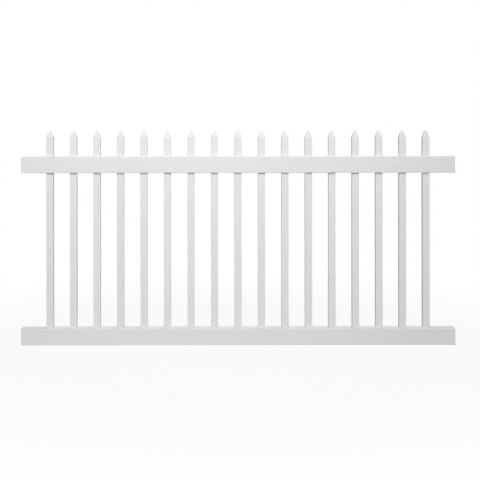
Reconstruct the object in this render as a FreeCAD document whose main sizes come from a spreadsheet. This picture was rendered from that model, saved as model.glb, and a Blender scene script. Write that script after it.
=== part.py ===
# Straight-topped vinyl picket fence panel.
# Two hollow rails carry a row of hollow pickets. Each picket stands on the floor of the bottom
# rail, passes through a routed hole in the bottom rail's top wall, runs right through the top
# rail, and is closed by a moulded pointed cap, flush with it, that plugs into its open end.
# The origin is on the left end face of the bottom rail, at the middle of its lower edge.
# +X runs along the panel, +Y from front to back and +Z up. All sizes are in millimetres.
import FreeCAD, Part
import enum
import math
import os

import Sketcher

SIZES = (
    ("picket_count", 17, "pickets along the panel"),
    ("picket_width", 38.1, "picket, along the panel"),
    ("picket_depth", 22.2, "picket, front to back"),
    ("picket_wall", 1.5, "wall of the picket tube"),
    ("picket_corner", 2.0, "outer corner radius of the picket"),
    ("picket_length", 1110.8, "picket tube, end to end"),
    ("picket_gap", 88.9, "clear gap between two pickets"),
    ("picket_rise", 97.0, "picket tube above the top rail"),
    ("end_margin", 133.35, "rail end to the side of the end picket"),
    ("rail_depth", 50.8, "rail, front to back"),
    ("rail_height", 88.9, "rail, bottom to top"),
    ("rail_wall", 2.2, "wall of the rail tube"),
    ("rail_corner", 3.2, "outer corner radius of the rail"),
    ("rail_bore_corner", 1.2, "inner corner radius of the rail"),
    ("routing_clearance", 0.3, "routed hole to picket, on each side"),
    ("routing_corner", 1.3, "cut across the corners of a routed hole"),
    ("cap_wall", 1.5, "wall of the cap"),
    ("cap_clearance", 0.3, "cap plug to picket wall, on each side"),
    ("cap_plug", 11.0, "height of the plug that fits in the picket"),
    ("cap_collar", 1.5, "upright band of the cap, flush with the picket"),
    ("cap_corner", 1.2, "cut across the corners of the cap"),
    ("cap_point", 41.2, "height of the point above the collar"),
    ("cap_swell", 0.12, "swell of the point's sides, as a share of how far they lean in"),
    ("cap_tip_width", 9.0, "rounded tip, along the panel"),
    ("cap_tip_depth", 7.0, "rounded tip, front to back"),
    ("cap_tip_round", 2.4, "height of the rounded tip"),
    ("cap_tip_solid", 7.0, "solid material under the tip"),
)

PITCH = "(sizes.picket_width + sizes.picket_gap)"
FIRST_PICKET = "(sizes.end_margin + sizes.picket_width / 2)"
RAIL_LENGTH = f"(2 * {FIRST_PICKET} + (sizes.picket_count - 1) * {PITCH})"
PICKET_TOP = "(sizes.rail_wall + sizes.picket_length)"
TOP_RAIL_FLOOR = f"({PICKET_TOP} - sizes.picket_rise - sizes.rail_height)"
PLUG_INSET = "(sizes.picket_wall + sizes.cap_clearance)"
PLUG_WIDTH = f"(sizes.picket_width - 2 * {PLUG_INSET})"
PLUG_DEPTH = f"(sizes.picket_depth - 2 * {PLUG_INSET})"
CAP_SHOULDER = "(sizes.cap_plug + sizes.cap_collar)"
CAP_FLANK = "(sizes.cap_point - sizes.cap_tip_round)"
OVER_POINT = "(2 * sizes.cap_point)"

# Features that take material away, and the cubic millimetres that each takes at the least.
CUTS = ("PartDesign::Pocket", "PartDesign::LinearPattern", "PartDesign::SubtractiveWedge")
LEAST_CUT = 1.0


class Mark(enum.IntEnum):
    """How a sketch numbers the ends of an edge, its own origin and its upright axis."""

    START = 1
    END = 2
    ORIGIN = -1
    UPRIGHT_AXIS = -2


def add_size_sheet(doc):
    """Put the driving dimensions in a spreadsheet, one row each, with an alias on the value."""
    sheet = doc.addObject("Spreadsheet::Sheet", "sizes")
    for row, (alias, size, meaning) in enumerate(SIZES, start=1):
        sheet.set(f"A{row}", meaning)
        sheet.set(f"B{row}", str(size))
        sheet.setAlias(f"B{row}", alias)
    doc.recompute()
    return sheet


def origin_feature(body, role):
    """Return the plane or axis of the body's own origin that has this role."""
    return next(item for item in body.Origin.OriginFeatures if item.Role == role)


def add_sketch(body, name, plane, **offsets):
    """Attach a sketch to an origin plane, moved in its own axes by the given expressions."""
    sketch = body.newObject("Sketcher::SketchObject", f"{body.Label}_{name}")
    sketch.AttachmentSupport = [(origin_feature(body, plane), "")]
    sketch.MapMode = "FlatFace"
    for axis, expression in offsets.items():
        sketch.setExpression(f"AttachmentOffset.Base.{axis}", expression)
    return sketch


def measure(sketch, expression):
    """Work out an expression on the sizes."""
    return float(sketch.evalExpression(expression))


def add_dimension(sketch, label, expression, *constraint):
    """Add a named dimension that follows an expression."""
    dimension = Sketcher.Constraint(*constraint, measure(sketch, expression))
    dimension.Name = label
    sketch.addConstraint(dimension)
    sketch.setExpression(f"Constraints.{label}", expression)


def draw_line(sketch, start, end):
    """Add a straight line and return its number."""
    return sketch.addGeometry(Part.LineSegment(FreeCAD.Vector(*start), FreeCAD.Vector(*end)), False)


def draw_arc(sketch, start, end, rise):
    """Add an anticlockwise arc with the given height over its chord, and return its number."""
    start = FreeCAD.Vector(*start)
    end = FreeCAD.Vector(*end)
    chord = end - start
    outwards = FreeCAD.Vector(chord.y, -chord.x, 0).normalize()
    return sketch.addGeometry(Part.Arc(start, (start + end) / 2 + outwards * rise, end), False)


def pairs_round(ring):
    """Pair each member of a closed ring with the one after it."""
    return list(zip(ring, ring[1:] + ring[:1]))


def join_ring(sketch, joint, ring):
    """Join each side of a closed outline to the one after it."""
    for this, after in pairs_round(ring):
        sketch.addConstraint(Sketcher.Constraint(joint, this, Mark.END, after, Mark.START))


def hold_rectangle(sketch, name, width, height, bottom, right, top, left):
    """Keep four sides level or upright, at the given size and centred on the sketch's origin."""
    sketch.addConstraint(
        [
            Sketcher.Constraint("Horizontal", bottom),
            Sketcher.Constraint("Horizontal", top),
            Sketcher.Constraint("Vertical", right),
            Sketcher.Constraint("Vertical", left),
            Sketcher.Constraint("Symmetric", bottom, Mark.START, top, Mark.START, Mark.ORIGIN, Mark.START),
        ]
    )
    add_dimension(sketch, f"{name}_width", width, "DistanceX", left, Mark.START, right, Mark.START)
    add_dimension(sketch, f"{name}_height", height, "DistanceY", bottom, Mark.START, top, Mark.START)


def corner_points(sketch, width, height, inset="0"):
    """Return the ends of a rectangle's four sides, in order round it, each side cut short by an inset."""
    half_x = measure(sketch, width) / 2
    half_y = measure(sketch, height) / 2
    in_x = half_x - measure(sketch, inset)
    in_y = half_y - measure(sketch, inset)
    bottom_and_right = [(-in_x, -half_y), (in_x, -half_y), (half_x, -in_y), (half_x, in_y)]
    return bottom_and_right + [(-x, -y) for x, y in bottom_and_right]


def draw_rectangle(sketch, name, width, height):
    """Draw a constrained rectangle with square corners, centred on the sketch's origin."""
    points = corner_points(sketch, width, height)[::2]
    sides = [draw_line(sketch, start, end) for start, end in pairs_round(points)]
    join_ring(sketch, "Coincident", sides)
    hold_rectangle(sketch, name, width, height, *sides)


def draw_cut_rectangle(sketch, name, width, height, cut):
    """Draw a constrained rectangle with its corners cut across, centred on the sketch's origin."""
    points = corner_points(sketch, width, height, cut)
    ring = [draw_line(sketch, start, end) for start, end in pairs_round(points)]
    join_ring(sketch, "Coincident", ring)
    hold_rectangle(sketch, name, width, height, *ring[::2])
    first, second, third, fourth = ring[1::2]
    alike = [Sketcher.Constraint("Equal", first, other) for other in (second, third, fourth)]
    alike += [Sketcher.Constraint("Perpendicular", first, other) for other in (second, fourth)]
    alike.append(Sketcher.Constraint("Parallel", first, third))
    sketch.addConstraint(alike)
    add_dimension(sketch, f"{name}_cut_width", cut, "DistanceX", first, Mark.START, first, Mark.END)
    add_dimension(sketch, f"{name}_cut_height", cut, "DistanceY", first, Mark.START, first, Mark.END)


def draw_rounded_rectangle(sketch, name, width, height, corner):
    """Draw a constrained rectangle with rounded corners, centred on the sketch's origin."""
    points = pairs_round(corner_points(sketch, width, height, corner))
    rise = measure(sketch, corner) * (1 - math.cos(math.radians(45)))
    sides = [draw_line(sketch, start, end) for start, end in points[::2]]
    corners = [draw_arc(sketch, start, end, rise) for start, end in points[1::2]]
    join_ring(sketch, "Tangent", [edge for pair in zip(sides, corners) for edge in pair])
    hold_rectangle(sketch, name, width, height, *sides)
    sketch.addConstraint([Sketcher.Constraint("Equal", corners[0], other) for other in corners[1:]])
    add_dimension(sketch, f"{name}_corner", corner, "Radius", corners[0])


def flank_swell(width, tip):
    """Give the expression for how far a side of the point swells out half way up."""
    return f"(sizes.cap_swell * ({width} - {tip}) / 2)"


def draw_point(sketch, width, tip):
    """Draw what lies over the cap's pointed outline, which runs from shoulder to shoulder.

    The sketch's origin is midway between the shoulders. Upright sides rise from them to a level
    line well over the tip.
    """
    half = measure(sketch, width) / 2
    half_tip = measure(sketch, tip) / 2
    height = measure(sketch, CAP_FLANK)
    swell = flank_swell(width, tip)
    bulge = measure(sketch, swell)
    level = measure(sketch, OVER_POINT)
    right_flank = draw_arc(sketch, (half, 0), (half_tip, height), bulge)
    crown = draw_arc(
        sketch, (half_tip, height), (-half_tip, height), measure(sketch, "sizes.cap_tip_round")
    )
    left_flank = draw_arc(sketch, (-half_tip, height), (-half, 0), bulge)
    left = draw_line(sketch, (-half, 0), (-half, level))
    across = draw_line(sketch, (-half, level), (half, level))
    right = draw_line(sketch, (half, level), (half, 0))
    apex = sketch.addGeometry(Part.Point(FreeCAD.Vector(0, measure(sketch, "sizes.cap_point"))), True)

    join_ring(sketch, "Coincident", [right_flank, crown, left_flank, left, across, right])
    sketch.addConstraint(
        [
            Sketcher.Constraint("Vertical", left),
            Sketcher.Constraint("Vertical", right),
            Sketcher.Constraint("Horizontal", across),
            Sketcher.Constraint("Equal", right_flank, left_flank),
            Sketcher.Constraint("Symmetric", left, Mark.START, right, Mark.END, Mark.ORIGIN, Mark.START),
            Sketcher.Constraint("Symmetric", crown, Mark.START, crown, Mark.END, Mark.UPRIGHT_AXIS),
            Sketcher.Constraint("PointOnObject", apex, Mark.START, crown),
            Sketcher.Constraint("PointOnObject", apex, Mark.START, Mark.UPRIGHT_AXIS),
        ]
    )
    chord_squared = f"((({width} - {tip}) / 2) ^ 2 + {CAP_FLANK} ^ 2)"
    flank_radius = f"{chord_squared} / (8 * {swell}) + {swell} / 2"
    add_dimension(sketch, "width", width, "DistanceX", across, Mark.START, across, Mark.END)
    add_dimension(sketch, "side", OVER_POINT, "DistanceY", left, Mark.START, left, Mark.END)
    add_dimension(sketch, "tip", tip, "DistanceX", crown, Mark.END, crown, Mark.START)
    add_dimension(sketch, "flank", CAP_FLANK, "DistanceY", right_flank, Mark.START, right_flank, Mark.END)
    add_dimension(sketch, "flank_radius", flank_radius, "Radius", right_flank)
    add_dimension(sketch, "point", "sizes.cap_point", "DistanceY", Mark.ORIGIN, Mark.START, apex, Mark.START)


def add_pad(body, sketch, name, length):
    """Extrude a sketch along its normal."""
    pad = body.newObject("PartDesign::Pad", f"{body.Label}_{name}")
    pad.Profile = sketch
    pad.setExpression("Length", length)
    return pad


def place(body, **coordinates):
    """Tie the body's place in the panel to the sizes."""
    for axis, expression in coordinates.items():
        body.setExpression(f"Placement.Base.{axis}", expression)


def make_rail(doc, label, floor, through):
    """Build a hollow rail with a row of routed picket holes.

    The holes go through both the top and bottom walls, or through the top wall alone.
    """
    body = doc.addObject("PartDesign::Body", label)
    profile = add_sketch(body, "profile", "YZ_Plane", y="sizes.rail_height / 2")
    draw_rounded_rectangle(profile, "outer", "sizes.rail_depth", "sizes.rail_height", "sizes.rail_corner")
    draw_rounded_rectangle(
        profile,
        "inner",
        "sizes.rail_depth - 2 * sizes.rail_wall",
        "sizes.rail_height - 2 * sizes.rail_wall",
        "sizes.rail_bore_corner",
    )
    add_pad(body, profile, "tube", RAIL_LENGTH)

    routing = add_sketch(body, "routing", "XY_Plane", x=FIRST_PICKET, z="sizes.rail_height")
    draw_cut_rectangle(
        routing,
        "hole",
        "sizes.picket_width + 2 * sizes.routing_clearance",
        "sizes.picket_depth + 2 * sizes.routing_clearance",
        "sizes.routing_corner",
    )
    hole = body.newObject("PartDesign::Pocket", f"{label}_hole")
    hole.Profile = routing
    if through:
        hole.Type = "ThroughAll"
    else:
        hole.setExpression("Length", "sizes.rail_height / 2")

    row = body.newObject("PartDesign::LinearPattern", f"{label}_hole_row")
    row.Originals = [hole]
    row.Direction = (origin_feature(body, "X_Axis"), [""])
    row.Mode = "Spacing"
    row.setExpression("Offset", PITCH)
    row.setExpression("Occurrences", "sizes.picket_count")
    body.Tip = row
    place(body, z=floor)
    return body


def make_picket(doc, number):
    """Build one picket tube, standing on the floor of the bottom rail."""
    body = doc.addObject("PartDesign::Body", f"picket_{number + 1:02d}")
    profile = add_sketch(body, "profile", "XY_Plane")
    draw_rounded_rectangle(
        profile, "outer", "sizes.picket_width", "sizes.picket_depth", "sizes.picket_corner"
    )
    draw_rectangle(
        profile,
        "inner",
        "sizes.picket_width - 2 * sizes.picket_wall",
        "sizes.picket_depth - 2 * sizes.picket_wall",
    )
    add_pad(body, profile, "tube", "sizes.picket_length")
    place(body, x=f"{FIRST_PICKET} + {number} * {PITCH}", z="sizes.rail_wall")
    return body


def cut_taper(body, name, lower, upper):
    """Cut a hollow with flat sides that taper upwards from one level rectangle to another.

    Each rectangle is given as its height, its width along the panel and its depth.
    """
    taper = body.newObject("PartDesign::SubtractiveWedge", f"{body.Label}_{name}")
    taper.AttachmentSupport = [(origin_feature(body, "XZ_Plane"), "")]
    taper.MapMode = "FlatFace"
    for end, mark, (height, width, depth) in (("min", "", lower), ("max", "2", upper)):
        taper.setExpression(f"Y{end}", height)
        for axis, size in (("X", width), ("Z", depth)):
            taper.setExpression(f"{axis}{mark}min", f"-({size}) / 2")
            taper.setExpression(f"{axis}{mark}max", f"({size}) / 2")


def trim_to_point(body, name, plane, width, tip):
    """Trim the cap's blank to its pointed outline, right through, as seen square to a plane."""
    outline = add_sketch(body, f"{name}_outline", plane, y=CAP_SHOULDER)
    draw_point(outline, width, tip)
    trim = body.newObject("PartDesign::Pocket", f"{body.Label}_{name}_trim")
    trim.Profile = outline
    trim.Type = "ThroughAll"
    trim.SideType = "Symmetric"


def inner_waist(width, tip):
    """Give the expression for the width of the point's hollow half way up its sides."""
    return f"({width} + {tip}) / 2 + 2 * {flank_swell(width, tip)} - 2 * sizes.cap_wall"


def hollow_cap(body):
    """Bore out the plug and collar, and hollow the point above them."""
    bore_width = f"{PLUG_WIDTH} - 2 * sizes.cap_wall"
    bore_depth = f"{PLUG_DEPTH} - 2 * sizes.cap_wall"
    outline = add_sketch(body, "bore_outline", "XY_Plane", z=CAP_SHOULDER)
    draw_rectangle(outline, "bore", bore_width, bore_depth)
    bore = body.newObject("PartDesign::Pocket", f"{body.Label}_bore")
    bore.Profile = outline
    bore.Type = "ThroughAll"

    shoulder = (CAP_SHOULDER, bore_width, bore_depth)
    waist = (
        f"{CAP_SHOULDER} + {CAP_FLANK} / 2",
        inner_waist("sizes.picket_width", "sizes.cap_tip_width"),
        inner_waist("sizes.picket_depth", "sizes.cap_tip_depth"),
    )
    ceiling = (
        f"{CAP_SHOULDER} + sizes.cap_point - sizes.cap_tip_solid",
        "sizes.cap_tip_width",
        "sizes.cap_tip_depth",
    )
    cut_taper(body, "lower_hollow", shoulder, waist)
    cut_taper(body, "upper_hollow", waist, ceiling)


def make_cap(doc, number):
    """Build one hollow pointed cap, flush with its picket and plugged into the picket's end.

    A blank as wide and deep as the picket is extruded upwards, and the front and side outlines trim it
    to a point.
    """
    body = doc.addObject("PartDesign::Body", f"picket_cap_{number + 1:02d}")
    plan = add_sketch(body, "plan", "XY_Plane", z="sizes.cap_plug")
    draw_cut_rectangle(plan, "outer", "sizes.picket_width", "sizes.picket_depth", "sizes.cap_corner")
    add_pad(body, plan, "blank", "sizes.cap_collar + sizes.cap_point")
    fitting = add_sketch(body, "fitting", "XY_Plane")
    draw_rectangle(fitting, "plug", PLUG_WIDTH, PLUG_DEPTH)
    add_pad(body, fitting, "plug", "sizes.cap_plug")

    trim_to_point(body, "front", "XZ_Plane", "sizes.picket_width", "sizes.cap_tip_width")
    trim_to_point(body, "side", "YZ_Plane", "sizes.picket_depth", "sizes.cap_tip_depth")
    hollow_cap(body)
    place(body, x=f"{FIRST_PICKET} + {number} * {PITCH}", z=f"{PICKET_TOP} - sizes.cap_plug")
    return body


def check_document(doc, bodies):
    """Stop if a feature failed, a hole was cut in the air or a piece isn't one valid solid."""
    for item in doc.Objects:
        if "Invalid" in item.State or "Error" in item.State:
            raise RuntimeError(f"{item.Label} failed: {item.State}")
        if item.TypeId in CUTS:
            if item.BaseFeature.Shape.Volume - item.Shape.Volume < LEAST_CUT:
                raise RuntimeError(f"{item.Label} removes nothing")
    for body in bodies:
        if body.Shape.isNull() or not body.Shape.isValid() or len(body.Shape.Solids) != 1:
            raise RuntimeError(f"{body.Label} is not one valid solid")


def main():
    """Build the panel and write one STEP file for each piece."""
    doc = FreeCAD.newDocument("picket_fence_panel")
    sheet = add_size_sheet(doc)
    bodies = [
        make_rail(doc, "bottom_rail", "0", through=False),
        make_rail(doc, "top_rail", TOP_RAIL_FLOOR, through=True),
    ]
    for number in range(int(sheet.picket_count)):
        bodies.append(make_picket(doc, number))
        bodies.append(make_cap(doc, number))
    doc.recompute()
    check_document(doc, bodies)
    os.makedirs("parts", exist_ok=True)
    for body in bodies:
        body.Shape.exportStep(os.path.join("parts", f"{body.Label}.step"))


main()
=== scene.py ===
"""Looks of a straight-topped white vinyl picket fence panel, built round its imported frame.

Two hollow rails carry a row of hollow pickets, and a moulded pointed cap closes each picket.
All lengths are in metres, +X along the panel, +Y from front to back and +Z up.
"""

import logging
import math
from abc import ABC, abstractmethod
from dataclasses import dataclass, field, replace
from enum import Enum
from typing import Any, ClassVar

import bmesh
import bpy
from mathutils import Matrix, Vector

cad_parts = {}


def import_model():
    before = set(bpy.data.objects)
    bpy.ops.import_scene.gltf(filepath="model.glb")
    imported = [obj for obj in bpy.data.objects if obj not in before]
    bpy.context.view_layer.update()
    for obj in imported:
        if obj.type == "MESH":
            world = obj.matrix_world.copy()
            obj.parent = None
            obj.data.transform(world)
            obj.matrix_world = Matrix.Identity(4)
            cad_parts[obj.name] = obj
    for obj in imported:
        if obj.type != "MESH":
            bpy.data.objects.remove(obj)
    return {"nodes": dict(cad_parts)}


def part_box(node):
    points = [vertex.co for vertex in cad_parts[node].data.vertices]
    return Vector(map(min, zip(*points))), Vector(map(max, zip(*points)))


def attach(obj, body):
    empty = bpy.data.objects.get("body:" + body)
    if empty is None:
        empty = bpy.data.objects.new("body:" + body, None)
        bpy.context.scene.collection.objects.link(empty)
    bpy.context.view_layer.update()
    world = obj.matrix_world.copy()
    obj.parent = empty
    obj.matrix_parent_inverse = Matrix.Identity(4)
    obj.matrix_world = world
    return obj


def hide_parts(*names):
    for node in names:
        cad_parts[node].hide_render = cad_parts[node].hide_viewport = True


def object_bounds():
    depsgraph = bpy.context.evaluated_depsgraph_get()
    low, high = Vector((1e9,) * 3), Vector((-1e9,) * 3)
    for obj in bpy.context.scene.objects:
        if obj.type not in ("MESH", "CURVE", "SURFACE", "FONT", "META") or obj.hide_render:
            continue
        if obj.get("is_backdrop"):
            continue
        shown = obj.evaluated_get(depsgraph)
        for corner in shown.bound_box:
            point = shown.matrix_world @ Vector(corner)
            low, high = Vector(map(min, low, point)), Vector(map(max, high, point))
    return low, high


LOG = logging.getLogger("picket_panel")

ROOT_BODY = "root"
MM = 0.001
# The photograph's side in pixels, and the width of the camera's sensor in millimetres.
PHOTO_SIDE = 480
SENSOR = 36.0
# How nearly a face or an edge follows an axis, as a cosine, and how nearly two places agree.
SQUARE = 0.99
NEAR = 0.1 * MM
# The value that a noise pattern varies about.
NOISE_MEAN = 0.5
# The Mix node's sockets for colours, which share their names with its sockets for numbers.
MIX_FIRST = 6
MIX_SECOND = 7
MIX_RESULT = 2

Colour = tuple[float, float, float, float]


def grey(level: float) -> Colour:
    """Return the neutral colour of a level from 0 to 1."""
    return (level, level, level, 1.0)


WHITE = grey(1.0)


class Grain(Enum):
    """How a vinyl piece was formed, which sets the way its fine marks run."""

    DRAWN_ALONG = (0.02, 1.0, 1.0)
    DRAWN_UP = (1.0, 1.0, 0.02)
    MOULDED = (1.0, 1.0, 1.0)


class Axis(Enum):
    """A direction of the panel, by its number in a vector."""

    ALONG = 0
    UP = 2


class Wall(Enum):
    """A level wall of a rail, by the way that it faces."""

    TOP = 1
    BOTTOM = -1


class Signal:
    """A shader value that adds Math nodes as it is reckoned with."""

    def __init__(self, board: "NodeBoard", socket: bpy.types.NodeSocket) -> None:
        """Wrap a socket of the board's tree."""
        self.board = board
        self.socket = socket

    def _math(self, operation: str, *values: Any) -> "Signal":
        """Add a Math node on these values and return its result."""
        node = self.board.add(
            "ShaderNodeMath", {"operation": operation}, dict(enumerate(values))
        )
        return Signal(self.board, node.outputs[0])

    def __add__(self, other: Any) -> "Signal":
        """Return this plus another value."""
        return self._math("ADD", self, other)

    def __radd__(self, other: Any) -> "Signal":
        """Return another value plus this."""
        return self._math("ADD", other, self)

    def __sub__(self, other: Any) -> "Signal":
        """Return this less another value."""
        return self._math("SUBTRACT", self, other)

    def __rsub__(self, other: Any) -> "Signal":
        """Return another value less this."""
        return self._math("SUBTRACT", other, self)

    def __mul__(self, other: Any) -> "Signal":
        """Return this times another value."""
        return self._math("MULTIPLY", self, other)

    def __rmul__(self, other: Any) -> "Signal":
        """Return another value times this."""
        return self._math("MULTIPLY", other, self)

    def __truediv__(self, other: Any) -> "Signal":
        """Return this divided by another value."""
        return self._math("DIVIDE", self, other)

    def __rtruediv__(self, other: Any) -> "Signal":
        """Return another value divided by this."""
        return self._math("DIVIDE", other, self)

    def rounded(self) -> "Signal":
        """Return the whole number nearest to this."""
        return self._math("ROUND", self)

    def larger(self, other: Any) -> "Signal":
        """Return the larger of this and another value."""
        return self._math("MAXIMUM", self, other)

    def ramp(self, low: float, high: float) -> "Signal":
        """Return a smooth rise from 0 to 1 as this goes from low to high."""
        node = self.board.add(
            "ShaderNodeMapRange",
            {"interpolation_type": "SMOOTHSTEP"},
            {"Value": self, "From Min": low, "From Max": high},
        )
        return Signal(self.board, node.outputs["Result"])


class NodeBoard:
    """A node tree, with one way of adding nodes to it."""

    def __init__(self, tree: bpy.types.NodeTree) -> None:
        """Start on an empty tree."""
        tree.nodes.clear()
        self.tree = tree

    def add(
        self,
        kind: str,
        settings: dict[str, Any] | None = None,
        inputs: dict[str | int, Any] | None = None,
    ) -> bpy.types.Node:
        """Add a node.

        Args:
            kind: The node's type name.
            settings: Its own properties, which are set first.
            inputs: A value, a socket or a Signal for each input, by name or number.

        Returns:
            The new node.
        """
        node = self.tree.nodes.new(kind)
        for name, value in (settings or {}).items():
            setattr(node, name, value)
        for key, value in (inputs or {}).items():
            source = value.socket if isinstance(value, Signal) else value
            if isinstance(source, bpy.types.NodeSocket):
                self.tree.links.new(source, node.inputs[key])
            else:
                node.inputs[key].default_value = source
        return node

    def signal(self, kind: str, output: str, **parts: Any) -> Signal:
        """Add a node and return one of its outputs as a Signal.

        Args:
            kind: The node's type name.
            output: The name of the output.
            **parts: The settings and inputs of the node.

        Returns:
            The output.
        """
        return Signal(self, self.add(kind, **parts).outputs[output])

    def mix_colours(self, factor: Signal, first: Any, second: Any) -> bpy.types.NodeSocket:
        """Blend from a first colour to a second one.

        Args:
            factor: 0 for the first colour, 1 for the second.
            first: A colour or a colour socket.
            second: A colour or a colour socket.

        Returns:
            The blended colour's socket.
        """
        node = self.add(
            "ShaderNodeMix",
            {"data_type": "RGBA"},
            {"Factor": factor, MIX_FIRST: first, MIX_SECOND: second},
        )
        return node.outputs[MIX_RESULT]

    def seen_directly(self) -> Signal:
        """Tell the rays that show a surface in the picture, in a reflection or through glass.

        Returns:
            1 on those rays and 0 on the others.
        """
        path = self.add("ShaderNodeLightPath").outputs
        camera = Signal(self, path["Is Camera Ray"])
        return camera.larger(path["Is Glossy Ray"]).larger(path["Is Transmission Ray"])


@dataclass(frozen=True)
class Marks:
    """One kind of fine marks in a surface, drawn by a noise pattern.

    The scale is in features to the metre, and the detail counts the finer layers. The height, tone
    and gloss say how far the marks change the surface, its colour and its roughness.
    """

    scale: float
    detail: float
    height: float
    tone: float = 0.0
    gloss: float = 0.0

    def pattern(self, board: NodeBoard, vector: bpy.types.NodeSocket) -> Signal:
        """Add the pattern to a tree.

        Args:
            board: The tree.
            vector: The coordinates that the pattern reads.

        Returns:
            The pattern, which varies about its mean.
        """
        return board.signal(
            "ShaderNodeTexNoise",
            "Fac",
            inputs={"Vector": vector, "Scale": self.scale, "Detail": self.detail},
        )


@dataclass(frozen=True)
class VinylFinish:
    """Satin white vinyl, with the fine marks of the way that a piece was formed."""

    name: str
    grain: Grain
    colour: Colour
    shade: Colour
    roughness: float
    lines: Marks = Marks(700.0, 3.0, 0.08 * MM, tone=0.35, gloss=0.16)
    specks: Marks = Marks(2600.0, 2.0, 0.02 * MM, tone=0.15)
    sway: Marks = Marks(5.0, 2.0, 0.25 * MM, tone=0.5, gloss=0.12)
    tone_range: tuple[float, float] = (0.3, 0.7)
    piece_pitch: float = 0.0
    batch_share: float = 0.4
    sawn_ends: tuple[float, float] | None = None
    sawn_edge: float = 0.12 * MM
    sawn_roughness: float = 0.25
    sawn_whitening: float = 0.5
    teeth: Marks = Marks(1400.0, 4.0, 0.05 * MM)
    ior: float = 1.53

    def batch(self, board: NodeBoard, along: Signal) -> Signal:
        """Give each piece along the panel a value of its own.

        Args:
            board: The tree to add it to.
            along: The place along the panel.

        Returns:
            The value, from 0 to 1.
        """
        return board.signal(
            "ShaderNodeTexWhiteNoise",
            "Value",
            settings={"noise_dimensions": "1D"},
            inputs={"W": (along / self.piece_pitch).rounded()},
        )

    def sawn_mask(self, board: NodeBoard, along: Signal) -> Signal:
        """Return 1 on the saw-cut end faces of a drawn piece.

        Args:
            board: The tree to add it to.
            along: The place along the piece.

        Returns:
            The mask.
        """
        low, high = self.sawn_ends
        low_end = 1 - along.ramp(low, low + self.sawn_edge)
        return low_end.larger(along.ramp(high - self.sawn_edge, high))

    def make(self) -> bpy.types.Material:
        """Build the material.

        Returns:
            The material.
        """
        material = bpy.data.materials.new(self.name)
        material.use_nodes = True
        board = NodeBoard(material.node_tree)
        place = board.add("ShaderNodeTexCoord").outputs["Object"]
        drawn = board.add("ShaderNodeMapping", inputs={"Vector": place, "Scale": self.grain.value})
        axes = board.add("ShaderNodeSeparateXYZ", inputs={"Vector": place})
        along = Signal(board, axes.outputs["X"])

        lines = self.lines.pattern(board, drawn.outputs["Vector"])
        specks = self.specks.pattern(board, place)
        sway = self.sway.pattern(board, place)
        tone = self.sway.tone * sway + self.lines.tone * lines + self.specks.tone * specks
        if self.piece_pitch:
            tone = (1 - self.batch_share) * tone + self.batch_share * self.batch(board, along)
        line_gloss = self.lines.gloss * (lines - NOISE_MEAN)
        roughness = self.roughness + line_gloss + self.sway.gloss * (sway - NOISE_MEAN)
        height = self.lines.height * lines + self.specks.height * specks + self.sway.height * sway
        colour = board.mix_colours(tone.ramp(*self.tone_range), self.shade, self.colour)
        if self.sawn_ends:
            sawn = self.sawn_mask(board, along)
            teeth = self.teeth.pattern(board, place)
            roughness = roughness + self.sawn_roughness * sawn
            height = height + self.teeth.height * sawn * teeth
            colour = board.mix_colours(self.sawn_whitening * sawn * teeth, colour, WHITE)
        bump = board.add(
            "ShaderNodeBump", inputs={"Height": height, "Distance": 1.0, "Strength": 1.0}
        )
        vinyl = board.add(
            "ShaderNodeBsdfPrincipled",
            inputs={
                "Base Color": colour,
                "Roughness": roughness,
                "IOR": self.ior,
                "Normal": bump.outputs["Normal"],
            },
        )
        board.add("ShaderNodeOutputMaterial", inputs={"Surface": vinyl.outputs["BSDF"]})
        return material


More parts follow.
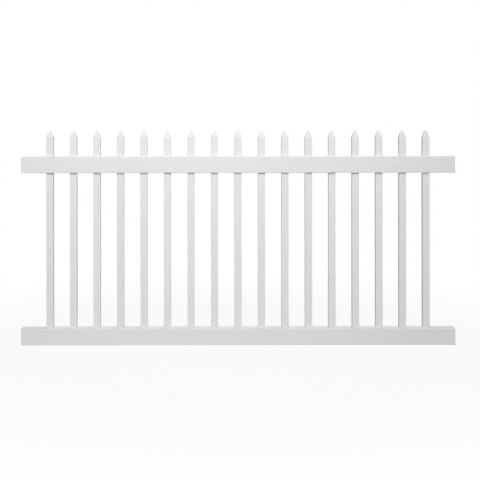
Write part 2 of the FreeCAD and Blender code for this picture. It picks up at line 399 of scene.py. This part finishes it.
@dataclass
class VinylPiece(ABC):
    """One piece of the panel, which stands for one node of the frame."""

    node: str
    slot: str
    eased_edge: float = 0.25 * MM
    eased_segments: int = 2
    sharp_from: ClassVar[float] = math.radians(50.0)
    flat_weight: ClassVar[int] = 100

    @abstractmethod
    def shape(self) -> bmesh.types.BMesh:
        """Model the piece.

        Returns:
            Its mesh, in place.
        """

    @property
    def low(self) -> Vector:
        """Return the lowest corner of the node's box."""
        return Vector(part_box(self.node)[0])

    @property
    def high(self) -> Vector:
        """Return the highest corner of the node's box."""
        return Vector(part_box(self.node)[1])

    @property
    def centre(self) -> Vector:
        """Return the middle of the node's box."""
        return (self.low + self.high) / 2

    def block(self, low: Vector, high: Vector) -> bmesh.types.BMesh:
        """Start a mesh from a block.

        Args:
            low: Its lowest corner.
            high: Its highest corner.

        Returns:
            The new mesh.
        """
        mesh = bmesh.new()
        fit = Matrix.Translation((low + high) / 2) @ Matrix.Diagonal((*(high - low), 1.0))
        bmesh.ops.create_cube(mesh, size=1.0, matrix=fit)
        return mesh

    def open_ends(self, mesh: bmesh.types.BMesh, axis: Axis) -> None:
        """Take away the two flat faces that close a block along an axis.

        Args:
            mesh: The block.
            axis: The axis.
        """
        ends = [face for face in mesh.faces if abs(face.normal[axis.value]) > SQUARE]
        bmesh.ops.delete(mesh, geom=ends, context="FACES")

    def bevel_edges(
        self, mesh: bmesh.types.BMesh, edges: list[bmesh.types.BMEdge], width: float, segments: int
    ) -> None:
        """Round some edges.

        Args:
            mesh: The mesh.
            edges: The edges.
            width: How far the rounding starts from the edge.
            segments: The facets round each edge.
        """
        bmesh.ops.bevel(
            mesh,
            geom=edges,
            offset=width,
            offset_type="OFFSET",
            segments=segments,
            profile=0.5,
            affect="EDGES",
            material=-1,
        )

    def edges_along(self, mesh: bmesh.types.BMesh, axis: Axis) -> list[bmesh.types.BMEdge]:
        """Find the edges that run along an axis.

        Args:
            mesh: The mesh.
            axis: The axis.

        Returns:
            The edges.
        """
        runs = []
        for edge in mesh.edges:
            run = (edge.verts[1].co - edge.verts[0].co).normalized()
            if abs(run[axis.value]) > SQUARE:
                runs.append(edge)
        return runs

    def thicken(self, mesh: bmesh.types.BMesh, wall: float) -> None:
        """Give an open skin its wall, on the inside.

        Args:
            mesh: The skin, with its faces pointing outwards.
            wall: The wall's thickness.
        """
        bmesh.ops.recalc_face_normals(mesh, faces=mesh.faces[:])
        bmesh.ops.solidify(mesh, geom=mesh.faces[:], thickness=wall)

    def ease_edges(self, mesh: bmesh.types.BMesh) -> None:
        """Take the sharpness off the cut edges of a finished shape.

        Args:
            mesh: The shape, with its walls.
        """
        sharp = [edge for edge in mesh.edges if edge.calc_face_angle(0.0) > self.sharp_from]
        self.bevel_edges(mesh, sharp, self.eased_edge, self.eased_segments)

    def dress(self, material: bpy.types.Material) -> bpy.types.Object:
        """Make the piece's object, give it its finish and tie it to the frame.

        Args:
            material: The finish.

        Returns:
            The object.
        """
        mesh = self.shape()
        for face in mesh.faces:
            face.smooth = True
        name = f"{self.node}_vinyl"
        data = bpy.data.meshes.new(name)
        mesh.to_mesh(data)
        mesh.free()
        data.materials.append(material)
        piece = bpy.data.objects.new(name, data)
        bpy.context.scene.collection.objects.link(piece)
        shading = piece.modifiers.new("flat_faces_stay_flat", "WEIGHTED_NORMAL")
        shading.mode = "FACE_AREA"
        shading.weight = self.flat_weight
        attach(piece, ROOT_BODY)
        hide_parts(self.node)
        LOG.info("%s stands for %s, %d faces", name, self.node, len(data.polygons))
        return piece


@dataclass
class Rail(VinylPiece):
    """A hollow drawn rail, with a row of routed holes for the pickets."""

    holes: list[Vector] = field(default_factory=list)
    hole_half: Vector = field(default_factory=Vector)
    routed: tuple[Wall, ...] = (Wall.TOP,)
    corner: float = 3.2 * MM
    corner_segments: int = 6
    wall: float = 2.2 * MM
    hole_corner: float = 2.3 * MM
    hole_segments: int = 6

    def shape(self) -> bmesh.types.BMesh:
        """Model the rail.

        Returns:
            Its mesh, in place.
        """
        mesh = self.block(self.low, self.high)
        along = self.edges_along(mesh, Axis.ALONG)
        self.bevel_edges(mesh, along, self.corner, self.corner_segments)
        self.open_ends(mesh, Axis.ALONG)
        self.part_bays(mesh)
        self.rout(mesh)
        self.thicken(mesh, self.wall)
        self.bevel_edges(mesh, self.hole_corners(mesh), self.hole_corner, self.hole_segments)
        self.ease_edges(mesh)
        return mesh

    def part_bays(self, mesh: bmesh.types.BMesh) -> None:
        """Cut the skin half way between neighbouring holes, so that each hole has its own faces.

        Args:
            mesh: The rail's skin.
        """
        for before, after in zip(self.holes, self.holes[1:]):
            bmesh.ops.bisect_plane(
                mesh,
                geom=mesh.verts[:] + mesh.edges[:] + mesh.faces[:],
                plane_co=(before + after) / 2,
                plane_no=(1.0, 0.0, 0.0),
            )

    def face_at(self, mesh: bmesh.types.BMesh, hole: Vector, wall: Wall) -> bmesh.types.BMFace:
        """Find the flat face of a wall that lies over a hole's middle.

        Args:
            mesh: The rail's skin.
            hole: The hole's middle.
            wall: The wall.

        Returns:
            The face.
        """
        flat = [face for face in mesh.faces if face.normal.z * wall.value > SQUARE]
        return min(flat, key=lambda face: (face.calc_center_bounds() - hole).xy.length)

    def rout(self, mesh: bmesh.types.BMesh) -> None:
        """Cut the holes through the skin, square for now.

        Args:
            mesh: The rail's skin, parted into bays.
        """
        plugs = []
        for hole in self.holes:
            for wall in self.routed:
                face = self.face_at(mesh, hole, wall)
                bmesh.ops.inset_individual(mesh, faces=[face], thickness=self.hole_corner)
                for vertex in face.verts:
                    away = vertex.co - hole
                    vertex.co.x = hole.x + math.copysign(self.hole_half.x, away.x)
                    vertex.co.y = hole.y + math.copysign(self.hole_half.y, away.y)
                plugs.append(face)
        bmesh.ops.delete(mesh, geom=plugs, context="FACES")

    def hole_corners(self, mesh: bmesh.types.BMesh) -> list[bmesh.types.BMEdge]:
        """Find the upright edges at the corners of the holes.

        Args:
            mesh: The rail with its walls.

        Returns:
            The edges.
        """
        middle = self.centre.y
        corners = []
        for edge in self.edges_along(mesh, Axis.UP):
            misses = [abs(vertex.co.y - middle) - self.hole_half.y for vertex in edge.verts]
            if all(abs(miss) < NEAR for miss in misses):
                corners.append(edge)
        return corners


@dataclass
class Picket(VinylPiece):
    """A hollow drawn picket."""

    corner: float = 2.0 * MM
    corner_segments: int = 6
    wall: float = 1.5 * MM

    def shape(self) -> bmesh.types.BMesh:
        """Model the picket.

        Returns:
            Its mesh, in place.
        """
        mesh = self.block(self.low, self.high)
        upright = self.edges_along(mesh, Axis.UP)
        self.bevel_edges(mesh, upright, self.corner, self.corner_segments)
        self.open_ends(mesh, Axis.UP)
        self.thicken(mesh, self.wall)
        self.ease_edges(mesh)
        return mesh


@dataclass
class PicketCap(VinylPiece):
    """A hollow moulded cap, flush with its picket, with a blunt point and a plug in the picket."""

    plug: float = 11.0 * MM
    plug_inset: float = 1.8 * MM
    collar: float = 1.5 * MM
    corner: float = 2.0 * MM
    corner_segments: int = 6
    wall: float = 1.5 * MM
    swell: float = 0.12
    tip_width: float = 9.0 * MM
    tip_depth: float = 7.0 * MM
    tip_round: float = 2.4 * MM
    tip_solid: float = 7.0 * MM
    flank_rings: int = 9
    tip_rings: tuple[float, ...] = (0.35, 0.62, 0.82, 0.94)

    @property
    def foot(self) -> float:
        """Return the height of the picket's end, which the collar stands on."""
        return self.low.z + self.plug

    @property
    def shoulder(self) -> float:
        """Return the height at which the point starts."""
        return self.foot + self.collar

    @property
    def flank(self) -> float:
        """Return the height of the point's sides, up to the round tip."""
        return self.high.z - self.shoulder - self.tip_round

    def shape(self) -> bmesh.types.BMesh:
        """Model the cap.

        Returns:
            Its mesh, in place.
        """
        collar_low = Vector((*self.low.xy, self.foot))
        collar_high = Vector((*self.high.xy, self.shoulder))
        mesh = self.block(collar_low, collar_high)
        self.open_ends(mesh, Axis.UP)
        upright = self.edges_along(mesh, Axis.UP)
        self.bevel_edges(mesh, upright, self.corner, self.corner_segments)
        self.raise_point(mesh)
        self.lower_plug(mesh)
        bmesh.ops.recalc_face_normals(mesh, faces=mesh.faces[:])
        self.ease_edges(mesh)
        return mesh

    def rim_at(self, mesh: bmesh.types.BMesh, level: float) -> list[bmesh.types.BMEdge]:
        """Find the open edges of the skin that lie at a height.

        Args:
            mesh: The cap's skin.
            level: The height.

        Returns:
            The edges.
        """
        return [
            edge
            for edge in mesh.edges
            if edge.is_boundary and all(abs(vertex.co.z - level) < NEAR for vertex in edge.verts)
        ]

    def draw_rings(
        self,
        mesh: bmesh.types.BMesh,
        rim: list[bmesh.types.BMEdge],
        level: float,
        rings: list[tuple[float, float, float]],
    ) -> bmesh.types.BMFace:
        """Draw a rim of the collar out into rings of faces, one by one, and close the last.

        Args:
            mesh: The cap's skin.
            rim: The rim's edges.
            level: The rim's height.
            rings: How far each ring stands from the cap's axis along X and along Y, and its height.

        Returns:
            The face that closes the last ring.
        """
        axis = Matrix.Translation(-self.centre)
        width, depth = ((self.high - self.low) / 2).xy
        for new_width, new_depth, new_level in rings:
            drawn = bmesh.ops.extrude_edge_only(mesh, edges=rim)["geom"]
            ring = [item for item in drawn if isinstance(item, bmesh.types.BMVert)]
            stretch = (new_width / width, new_depth / depth, 1.0)
            bmesh.ops.scale(mesh, vec=stretch, space=axis, verts=ring)
            bmesh.ops.translate(mesh, vec=(0.0, 0.0, new_level - level), verts=ring)
            rim = [item for item in drawn if isinstance(item, bmesh.types.BMEdge)]
            width, depth, level = new_width, new_depth, new_level
        return bmesh.ops.edgeloop_fill(mesh, edges=rim)["faces"][0]

    def lower_plug(self, mesh: bmesh.types.BMesh) -> None:
        """Turn the lower rim in over the picket's end and down into the plug, and hollow the cap.

        Args:
            mesh: The collar and the point.
        """
        half = (self.high - self.low) / 2
        plug_width, plug_depth = half.x - self.plug_inset, half.y - self.plug_inset
        bore_width, bore_depth = plug_width - self.wall, plug_depth - self.wall
        waist = self.flank / 2
        waist_width = self.reach(waist, half.x, self.tip_width / 2) - self.wall
        waist_depth = self.reach(waist, half.y, self.tip_depth / 2) - self.wall
        rings = [
            (plug_width, plug_depth, self.foot),
            (plug_width, plug_depth, self.low.z),
            (bore_width, bore_depth, self.low.z),
            (bore_width, bore_depth, self.shoulder),
            (waist_width, waist_depth, self.shoulder + waist),
            (self.tip_width / 2, self.tip_depth / 2, self.high.z - self.tip_solid),
        ]
        self.draw_rings(mesh, self.rim_at(mesh, self.foot), self.foot, rings)

    def levels(self) -> list[float]:
        """Return the heights over the shoulder at which the point has a ring."""
        flanks = [self.flank * (step + 1) / self.flank_rings for step in range(self.flank_rings)]
        return flanks + [self.flank + self.tip_round * share for share in self.tip_rings]

    def reach(self, level: float, half: float, half_tip: float) -> float:
        """Work out how far a side of the point stands from the cap's axis.

        Args:
            level: The height over the shoulder.
            half: The reach at the shoulder.
            half_tip: The reach where the round tip starts.

        Returns:
            The reach at that height.
        """
        flank = self.flank
        if level > flank:
            radius = (half_tip**2 + self.tip_round**2) / (2 * self.tip_round)
            over = level - (flank + self.tip_round - radius)
            return math.sqrt(radius**2 - over**2)
        chord = math.hypot(half - half_tip, flank)
        bulge = self.swell * (half - half_tip)
        radius = chord**2 / (8 * bulge) + bulge / 2
        inwards = radius - bulge
        middle_reach = (half + half_tip) / 2 - inwards * flank / chord
        middle_level = flank / 2 - inwards * (half - half_tip) / chord
        return middle_reach + math.sqrt(radius**2 - (level - middle_level) ** 2)

    def raise_point(self, mesh: bmesh.types.BMesh) -> None:
        """Draw the collar's upper rim up into the point, ring by ring, and close it.

        Args:
            mesh: The collar.
        """
        half = (self.high - self.low) / 2
        rings = []
        for level in self.levels():
            width = self.reach(level, half.x, self.tip_width / 2)
            depth = self.reach(level, half.y, self.tip_depth / 2)
            rings.append((width, depth, self.shoulder + level))
        lid = self.draw_rings(mesh, self.rim_at(mesh, self.shoulder), self.shoulder, rings)
        apex = bmesh.ops.poke(mesh, faces=[lid])["verts"][0]
        apex.co.z = self.high.z


@dataclass
class SoftBox:
    """A soft rectangular studio lamp, with a grid to narrow its beam or a filter against glints."""

    name: str
    place: tuple[float, float, float]
    target: tuple[float, float, float]
    size: tuple[float, float]
    watts: float
    beam_degrees: float = 180.0
    glints: bool = True

    def hang(self) -> None:
        """Add the lamp, facing its target."""
        lamp = bpy.data.lights.new(self.name, "AREA")
        lamp.shape = "RECTANGLE"
        lamp.size, lamp.size_y = self.size
        lamp.energy = self.watts
        lamp.spread = math.radians(self.beam_degrees)
        box = bpy.data.objects.new(self.name, lamp)
        box.location = self.place
        box.visible_glossy = self.glints
        beam = Vector(self.target) - Vector(self.place)
        box.rotation_euler = beam.to_track_quat("-Z", "Y").to_euler()
        bpy.context.scene.collection.objects.link(box)
        LOG.info("%s hung, %.0f W", self.name, self.watts)


@dataclass
class Studio:
    """A pale floor, a white surround and soft lamps."""

    centre: Vector
    floor_level: float
    floor_side: float = 60.0
    floor_colour: Colour = grey(0.6)
    shadow_share: float = 0.08
    shadow_reach: tuple[float, float] = (1.9, 1.2)
    shadow_fade: tuple[float, float] = (0.6, 1.6)
    ambient: float = 0.05
    lamps: list[SoftBox] = field(default_factory=list)

    def build(self) -> None:
        """Lay the floor, set the surround and hang the lamps."""
        self.lay_floor()
        self.set_surround()
        for lamp in self.lamps:
            lamp.hang()

    def lay_floor(self) -> None:
        """Lay a floor that is white in the picture and keeps a faint shadow near the panel."""
        mesh = bmesh.new()
        bmesh.ops.create_grid(mesh, x_segments=1, y_segments=1, size=self.floor_side / 2)
        bmesh.ops.translate(
            mesh, vec=(self.centre.x, self.centre.y, self.floor_level), verts=mesh.verts[:]
        )
        data = bpy.data.meshes.new("studio_floor")
        mesh.to_mesh(data)
        mesh.free()
        data.materials.append(self.floor_finish())
        floor = bpy.data.objects.new("studio_floor", data)
        bpy.context.scene.collection.objects.link(floor)
        floor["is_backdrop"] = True

    def floor_finish(self) -> bpy.types.Material:
        """Make the floor's finish.

        Returns:
            The material.
        """
        material = bpy.data.materials.new("studio_floor_paint")
        material.use_nodes = True
        board = NodeBoard(material.node_tree)
        place = board.add("ShaderNodeTexCoord").outputs["Object"]
        reach_x, reach_y = self.shadow_reach
        near = board.add(
            "ShaderNodeMapping",
            {"vector_type": "TEXTURE"},
            {
                "Vector": place,
                "Location": (self.centre.x, self.centre.y, self.floor_level),
                "Scale": (reach_x, reach_y, 1.0),
            },
        )
        distance = board.signal(
            "ShaderNodeVectorMath",
            "Value",
            settings={"operation": "LENGTH"},
            inputs={0: near.outputs["Vector"]},
        )
        kept = self.shadow_share * (1 - distance.ramp(*self.shadow_fade))
        paint = board.add("ShaderNodeBsdfDiffuse", inputs={"Color": self.floor_colour})
        glow = board.add("ShaderNodeEmission", inputs={"Color": WHITE, "Strength": 1.0})
        surface = board.add(
            "ShaderNodeMixShader",
            inputs={
                0: board.seen_directly() * (1 - kept),
                1: paint.outputs["BSDF"],
                2: glow.outputs["Emission"],
            },
        )
        board.add("ShaderNodeOutputMaterial", inputs={"Surface": surface.outputs["Shader"]})
        return material

    def set_surround(self) -> None:
        """Light the panel evenly from all round, with a white background."""
        world = bpy.data.worlds.new("studio_surround")
        world.use_nodes = True
        board = NodeBoard(world.node_tree)
        seen = board.seen_directly()
        sky = board.add(
            "ShaderNodeBackground",
            inputs={"Color": WHITE, "Strength": seen + self.ambient * (1 - seen)},
        )
        board.add("ShaderNodeOutputWorld", inputs={"Surface": sky.outputs["Background"]})
        bpy.context.scene.world = world


@dataclass
class PhotoCamera:
    """A level camera in front of the panel, with its picture shifted onto the panel."""

    place: tuple[float, float, float] = (0.994, -3.8, 1.146)
    focal_pixels: float = 701.7
    middle_pixel: tuple[float, float] = (205.6, 132.25)
    level_degrees: float = 90.0
    roll_degrees: float = 0.07

    def build(self) -> None:
        """Add the camera and make it the scene's own."""
        data = bpy.data.cameras.new("photo_camera")
        data.sensor_width = SENSOR
        data.lens = self.focal_pixels / PHOTO_SIDE * SENSOR
        half = PHOTO_SIDE / 2
        data.shift_x = (half - self.middle_pixel[0]) / PHOTO_SIDE
        data.shift_y = (self.middle_pixel[1] - half) / PHOTO_SIDE
        camera = bpy.data.objects.new("photo_camera", data)
        camera.location = self.place
        level, roll = math.radians(self.level_degrees), math.radians(self.roll_degrees)
        camera.rotation_euler = (level, roll, 0.0)
        bpy.context.scene.collection.objects.link(camera)
        bpy.context.scene.camera = camera


@dataclass
class PicketPanel:
    """The whole panel: its rails, pickets and caps."""

    nodes: list[str]
    hole_clearance: float = 0.3 * MM

    @property
    def cap_nodes(self) -> list[str]:
        """Return the names of the cap nodes, in order."""
        return sorted(node for node in self.nodes if node.startswith("picket_cap_"))

    @property
    def picket_nodes(self) -> list[str]:
        """Return the names of the picket nodes, in order."""
        uprights = {node for node in self.nodes if node.startswith("picket_")}
        return sorted(uprights - set(self.cap_nodes))

    def rails(self, pickets: list[Picket]) -> list[Rail]:
        """Set out the rails, with a hole for each picket.

        Args:
            pickets: The pickets, in order.

        Returns:
            The bottom rail and the top rail.
        """
        holes = [picket.centre for picket in pickets]
        clearance = Vector((self.hole_clearance,) * 3)
        hole_half = (pickets[0].high - pickets[0].low) / 2 + clearance
        through = (Wall.TOP, Wall.BOTTOM)
        return [
            Rail("bottom_rail", "rail_vinyl", holes=holes, hole_half=hole_half),
            Rail("top_rail", "rail_vinyl", holes=holes, hole_half=hole_half, routed=through),
        ]

    def pieces(self) -> list[tuple[VinylPiece, VinylFinish]]:
        """List the pieces with their finishes.

        Returns:
            Each piece and the finish that it wears.
        """
        pickets = [Picket(node, "picket_vinyl") for node in self.picket_nodes]
        caps = [PicketCap(node, "cap_vinyl") for node in self.cap_nodes]
        rails = self.rails(pickets)
        pitch = pickets[1].centre.x - pickets[0].centre.x
        rail_finish = VinylFinish(
            "rail_vinyl_satin",
            Grain.DRAWN_ALONG,
            colour=grey(0.836),
            shade=grey(0.816),
            roughness=0.50,
            sawn_ends=(rails[0].low.x, rails[0].high.x),
        )
        picket_finish = VinylFinish(
            "picket_vinyl_satin",
            Grain.DRAWN_UP,
            colour=grey(0.84),
            shade=grey(0.816),
            roughness=0.55,
            piece_pitch=pitch,
        )
        # The caps wear the same white vinyl, painted a little darker than the pickets. This is
        # painted shade that holds down the extra light the upward-facing points catch from above.
        shaded_cap_finish = VinylFinish(
            "cap_vinyl_moulded_painted_shade",
            Grain.MOULDED,
            colour=grey(0.80),
            shade=grey(0.78),
            roughness=0.50,
            lines=replace(VinylFinish.lines, scale=160.0),
            sway=replace(VinylFinish.sway, scale=40.0, height=0.05 * MM),
            piece_pitch=pitch,
        )
        return (
            [(rail, rail_finish) for rail in rails]
            + [(picket, picket_finish) for picket in pickets]
            + [(cap, shaded_cap_finish) for cap in caps]
        )

    def build(self) -> None:
        """Build and dress every piece."""
        made: dict[str, bpy.types.Material] = {}
        for piece, finish in self.pieces():
            if finish.name not in made:
                made[finish.name] = finish.make()
            piece.dress(made[finish.name])


def studio_for(low: Vector, high: Vector) -> Studio:
    """Set out the studio round the panel.

    Args:
        low: The panel's lowest corner.
        high: The panel's highest corner.

    Returns:
        The studio.
    """
    centre = (low + high) / 2
    upper_share = 0.8
    key_inset, key_rise = 0.65, 2.1
    upper = (centre.x, 0.0, high.z * upper_share)
    # The key's narrow beam passes over the panel's left part, so its light falls off to the right.
    over_left = (low.x + key_inset, 0.0, high.z * key_rise)
    lamps = [
        SoftBox(
            "key_softbox",
            place=(1.2, -6.0, 5.2),
            target=over_left,
            size=(3.0, 5.0),
            watts=142.0,
            beam_degrees=90.0,
        ),
        SoftBox(
            "overhead_softbox",
            place=(0.8, -0.9, 2.9),
            target=upper,
            size=(3.0, 1.0),
            watts=3.5,
        ),
        SoftBox(
            "top_softbox",
            place=(1.6, 0.9, 4.6),
            target=upper,
            size=(3.0, 1.2),
            watts=43.0,
        ),
        SoftBox(
            "back_softbox",
            place=(1.2, 9.5, 2.6),
            target=upper,
            size=(3.0, 3.0),
            watts=330.0,
            glints=False,
        ),
    ]
    return Studio(centre, low.z, lamps=lamps)


def main() -> None:
    """Load the frame, take its bounds, and build the panel and its studio."""
    logging.basicConfig(level=logging.INFO, format="%(name)s: %(message)s")
    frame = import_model()
    low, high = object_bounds()
    bpy.context.scene.view_settings.view_transform = "Standard"
    PicketPanel(list(frame["nodes"])).build()
    studio_for(low, high).build()
    PhotoCamera().build()


if __name__ == "__main__":
    main()
